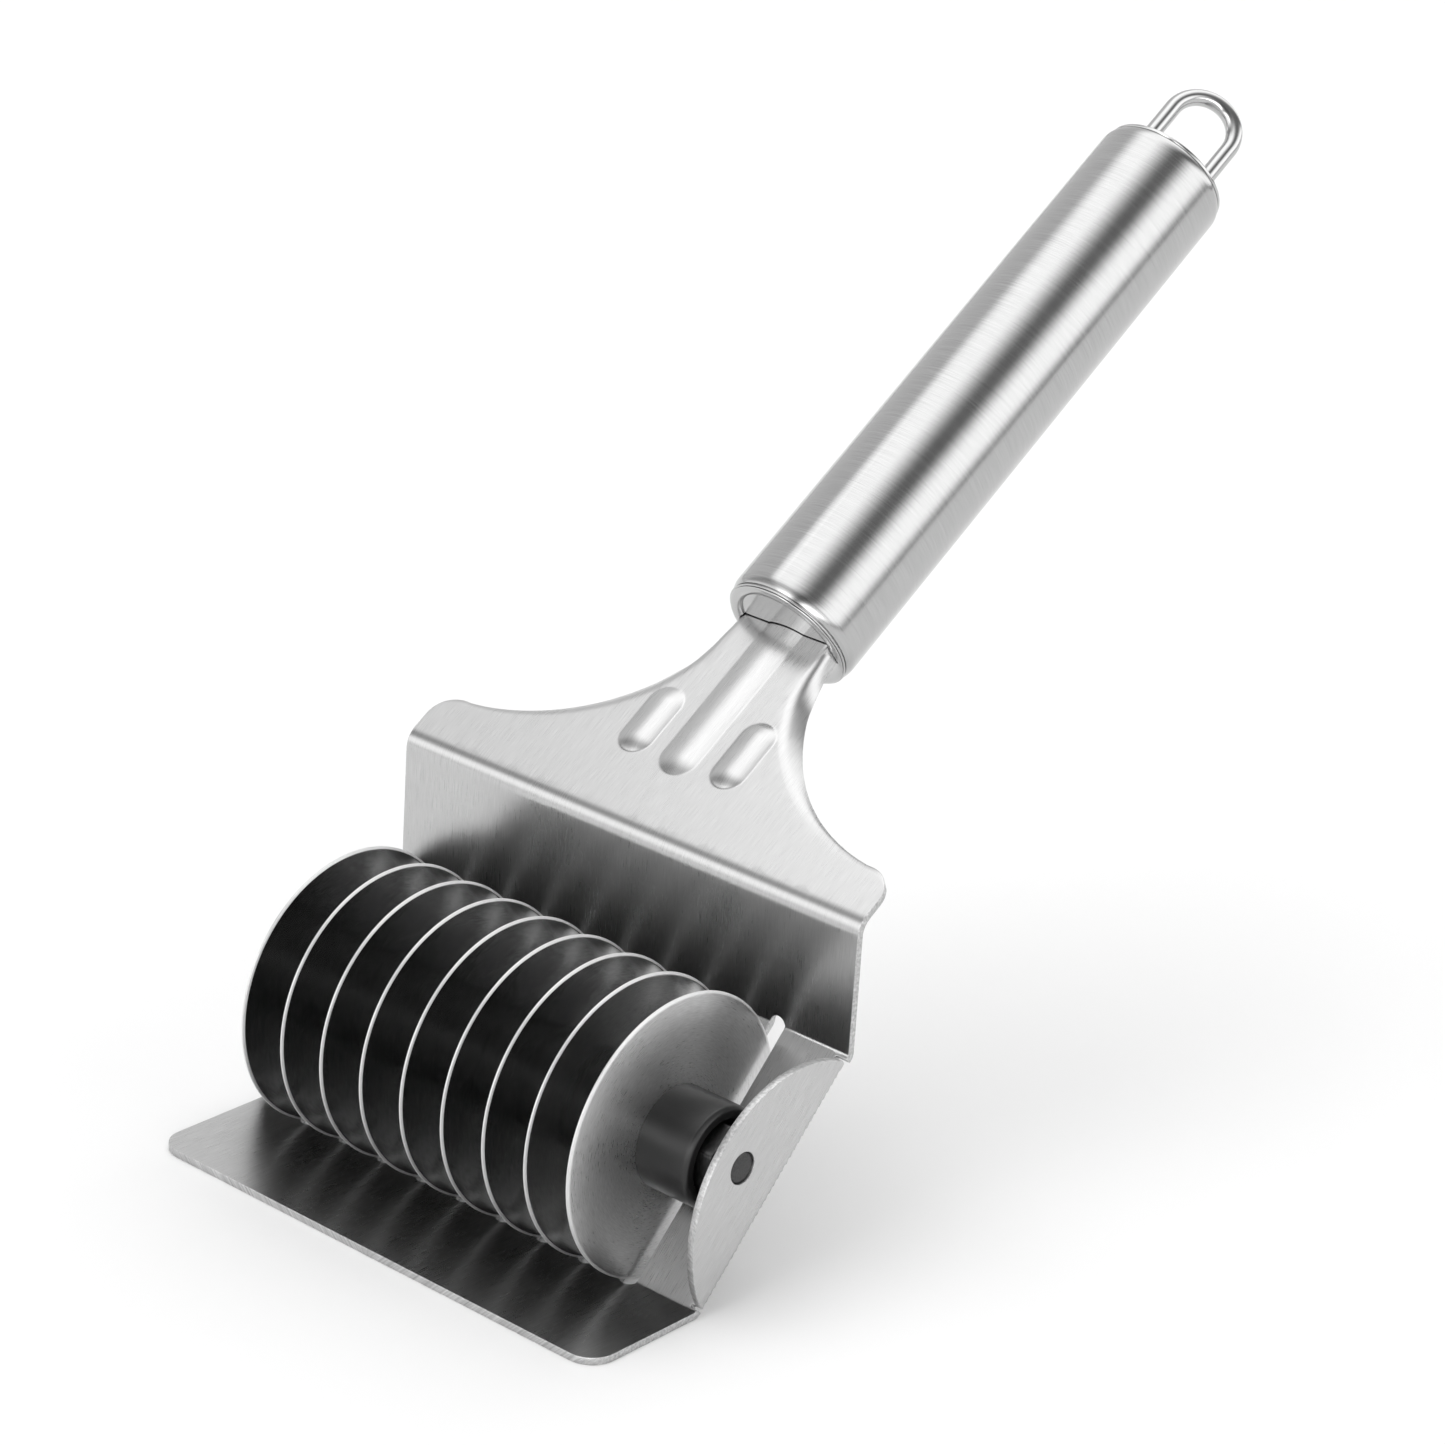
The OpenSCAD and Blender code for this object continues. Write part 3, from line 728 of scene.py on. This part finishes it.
def tube_slot():
    """The slot round the sheet's turned-down section, from in front of the cap to inside the handle."""
    gap, v = 0.28, u_of_neck(NECK_LEN)
    reach = edge_reach(v)
    side = [(TANG_W / 2 - reach, gap)]
    side += [(TANG_W / 2 - t, z) for t, z in edge_profile(v, gap)]
    side += [(TANG_W / 2 - reach, -SHEET_T - gap)]
    rib = []
    _, rw, rh, _, _ = RIBS[0]
    ball = (rw * rw / 4 + rh * rh) / (2 * rh)
    for i in range(15):
        x = -rw / 2 + rw * i / 14
        rib.append((x, gap + math.sqrt(ball * ball - x * x) - (ball - rh)))
    ring = rib + side + [(-x, t) for x, t in reversed(side)]
    m = len(ring)
    co = [on_neck(x, s, t) for s in (NECK_LEN - 3, NECK_LEN + 2.4) for x, t in ring]
    faces = [tuple(range(m)), tuple(range(2 * m - 1, m - 1, -1))]
    faces += [(i, (i + 1) % m, m + (i + 1) % m, m + i) for i in range(m)]
    return co, faces


inner_r = FRONT_R - TUBE_T
end_r = HANDLE_R - TUBE_T - inner_r + math.sqrt(inner_r ** 2 - FRONT_ROUND ** 2) - 0.03
BEAD_AT, BEAD_R = -0.04, 0.16
cap_prof = [(FACE_AT, 0), (FACE_AT, face_r - 0.1)] + dome
cap_prof += [(-0.28, rim_r - 0.1), (-0.22, rim_r - 0.12)]
cap_prof += [(BEAD_AT - BEAD_R * math.cos(rad(v)), bead_r - 0.05 + BEAD_R * math.sin(rad(v)))
             for v in range(0, 181, 30)]
cap_prof += [(0.13, rim_r - 0.2), (0.39, rim_r - 0.2), (0.39, end_r), (2.5, end_r), (2.5, 0)]
front_cap = turned("handle_front_rim", cap_prof, on_handle, "frame", ["handle_front_cap"],
                   cap_steel, 192, closed=False, sharp=50)
carve(front_cap, *tube_slot(), cap_steel)

# rear cap: a thin disc, sunk a little inside its rim
rear_r = HANDLE_R - REAR_R + math.sqrt(REAR_R ** 2 - REAR_ROUND ** 2)
rear_prof = [(tube_end + a, r) for a, r in (
    (0.02, 0), (0.02, rear_r - 0.4), (0.12, rear_r - 0.36), (0.16, rear_r - 0.08), (0.26, rear_r))]
rear_prof += [(HANDLE_LEN - a, r) for a, r in (
    (0.3, rear_r), (0.14, rear_r - 0.05), (0.03, rear_r - 0.2), (0, rear_r - 0.4),
    (0, rear_r - 0.9), (0.2, rear_r - 1.3), (0.2, 0))]
turned("handle_rear_disc", rear_prof, on_handle, "frame", ["handle_rear_cap"],
       cap_steel, 144, closed=False)

# hanging loop: a wire swept along (along the handle, across the loop) points
WIRE_R, LOOP_R, LOOP_OUT, LEG_IN = 1.4, 5.75, 18.0, 6
loop_centre = HANDLE_LEN + LOOP_OUT - WIRE_R - LOOP_R
roll = rad(37)
line = [(v, -LOOP_R) for v in span(HANDLE_LEN - LEG_IN, loop_centre, 0.8)]
line += [(loop_centre + LOOP_R * math.sin(rad(a)), -LOOP_R * math.cos(rad(a))) for a in range(5, 180, 5)]
line += [(v, LOOP_R) for v in span(loop_centre, HANDLE_LEN - LEG_IN, 0.8)]
co, faces, grains, total = [], [], [], 0.0
ring = 40
for i, (v, w) in enumerate(line):
    v0, w0 = line[max(0, i - 1)]
    v1, w1 = line[min(len(line) - 1, i + 1)]
    tv, tw = v1 - v0, w1 - w0
    ln = math.hypot(tv, tw)
    tv, tw = tv / ln, tw / ln
    for j in range(ring):
        a = 2 * math.pi * j / ring
        c, s = WIRE_R * math.cos(a), WIRE_R * math.sin(a)
        av, aw, flat = v - tw * c, w + tv * c, s
        across = aw * math.cos(roll) + flat * math.sin(roll)
        co.append(on_handle(av, across, -aw * math.sin(roll) + flat * math.cos(roll)))
for i in range(len(line) - 1):
    step = math.hypot(line[i + 1][0] - line[i][0], line[i + 1][1] - line[i][1])
    for j in range(ring):
        j2 = (j + 1) % ring
        faces.append((i * ring + j, i * ring + j2, (i + 1) * ring + j2, (i + 1) * ring + j))
        g = 2 * math.pi * WIRE_R / ring * MM
        g0, g1 = total * MM, (total + step) * MM
        grains.append([(j * g, g0), ((j + 1) * g, g0), ((j + 1) * g, g1), (j * g, g1)])
    total += step
last = (len(line) - 1) * ring
faces += [tuple(range(ring - 1, -1, -1)), tuple(last + j for j in range(ring))]
grains += [[(0, 0)] * ring, [(0, 0)] * ring]
shown("loop_wire", co, faces, None, "frame", ["hanging_loop"], wire_steel, 60, grains)


# ---------------------------------------------------------------- floor, light, camera
mesh = bpy.data.meshes.new("floor")
mesh.from_pydata([(-3, -3, 0), (3, -3, 0), (3, 3, 0), (-3, 3, 0)], [], [(0, 1, 2, 3)])
floor = bpy.data.objects.new("floor", mesh)
scene.collection.objects.link(floor)
fm, nodes, links, b = new_material("floor_white")
b.inputs["Base Color"].default_value = (0.84, 0.84, 0.84, 1)
b.inputs["Roughness"].default_value = 0.9
mesh.materials.append(fm)


def card(name, az, el, dist, w, h, power):
    """A soft lamp that faces the object. Azimuth is from +X towards +Y."""
    lamp = bpy.data.lights.new(name, "AREA")
    lamp.shape, lamp.size, lamp.size_y, lamp.energy = "RECTANGLE", w, h, power
    o = bpy.data.objects.new(name, lamp)
    flat = math.cos(rad(el))
    d = Vector((flat * math.cos(rad(az)), flat * math.sin(rad(az)), math.sin(rad(el))))
    o.location = d * dist + Vector((0, 0, 0.05))
    o.rotation_euler = d.to_track_quat("Z", "Y").to_euler()
    scene.collection.objects.link(o)
    return o


world = bpy.data.worlds.new("studio")
scene.world = world
world.use_nodes = True
wn, wl = world.node_tree.nodes, world.node_tree.links
back = wn["Background"]
tc = wn.new("ShaderNodeTexCoord")
sep = wn.new("ShaderNodeSeparateXYZ")
wl.new(tc.outputs["Generated"], sep.inputs["Vector"])


def light_ramp(toward, stops, easing):
    """Light level by the angle from a direction, over the top, to the opposite one. Angles in degrees."""
    angle = wn.new("ShaderNodeMath")
    angle.operation = "ARCTAN2"
    wl.new(sep.outputs["Z"], angle.inputs[0])
    wl.new(toward, angle.inputs[1])
    share = wn.new("ShaderNodeMapRange")
    share.inputs["From Min"].default_value = 0.0
    share.inputs["From Max"].default_value = math.pi
    wl.new(angle.outputs[0], share.inputs["Value"])
    ramp = wn.new("ShaderNodeValToRGB")
    ramp.color_ramp.interpolation = easing
    el = ramp.color_ramp.elements
    el[0].position, el[len(el) - 1].position = stops[0][0] / 180, stops[-1][0] / 180
    el[0].color = (*[stops[0][1]] * 3, 1)
    el[len(el) - 1].color = (*[stops[-1][1]] * 3, 1)
    for deg, level in stops[1:-1]:
        el.new(deg / 180).color = (level, level, level, 1)
    wl.new(share.outputs["Result"], ramp.inputs["Fac"])
    return ramp.outputs["Color"]


# Soft light zones from +X over the top: first and last degree, level. The light eases from one to the next.
ZONES = [
    (0, 0, 0.4),       # haze at the horizon
    (15, 30, 2.0),     # low softbox on the right
    (53, 60, 0.2),     # dark flag
    (97, 112, 2.0),    # softbox overhead, left of the middle
    (135, 180, 0.8),   # fill from the left
]
sides = [(deg, level) for first, last, level in ZONES for deg in sorted({first, last})]
# Towards the front (-Y) the light has a bright band low down and a dark one above it.
bands = [(0, 0.5), (8, 0.8), (16, 1.0), (24, 1.0), (32, 0.85), (40, 0.3),
         (50, 0.16), (58, 0.2), (66, 0.38), (74, 0.5), (180, 0.5)]
minus = wn.new("ShaderNodeMath")
minus.operation = "MULTIPLY"
minus.inputs[1].default_value = -1.0
wl.new(sep.outputs["Y"], minus.inputs[0])
both = wn.new("ShaderNodeMix")
both.data_type, both.blend_type = "RGBA", "MULTIPLY"
both.inputs["Factor"].default_value = 1.0
wl.new(light_ramp(sep.outputs["X"], sides, "EASE"), both.inputs[6])
wl.new(light_ramp(minus.outputs[0], bands, "LINEAR"), both.inputs[7])
wl.new(both.outputs[2], back.inputs["Color"])
back.inputs["Strength"].default_value = 2.0

key = card("key", 200, 66, 1.6, 0.8, 0.8, 2.2)
key.visible_glossy = False
key.visible_transmission = False
glow = card("neck_glow", 187, 53, 0.4, 0.12, 0.09, 0.016)
glow.location = (-0.225, -0.05, 0.45)
glow.visible_diffuse = False
scene.view_settings.view_transform = "Standard"
cam_data = bpy.data.cameras.new("camera")
cam_data.sensor_width, cam_data.lens, cam_data.clip_start = 36.0, 117.672, 0.01
cam = bpy.data.objects.new("camera", cam_data)
cam.location = (0.43539392, -0.53687958, 0.34359542)
cam.rotation_euler = (rad(67.5629209), rad(-3.40071909), rad(41.63836816))
scene.collection.objects.link(cam)
scene.camera = cam
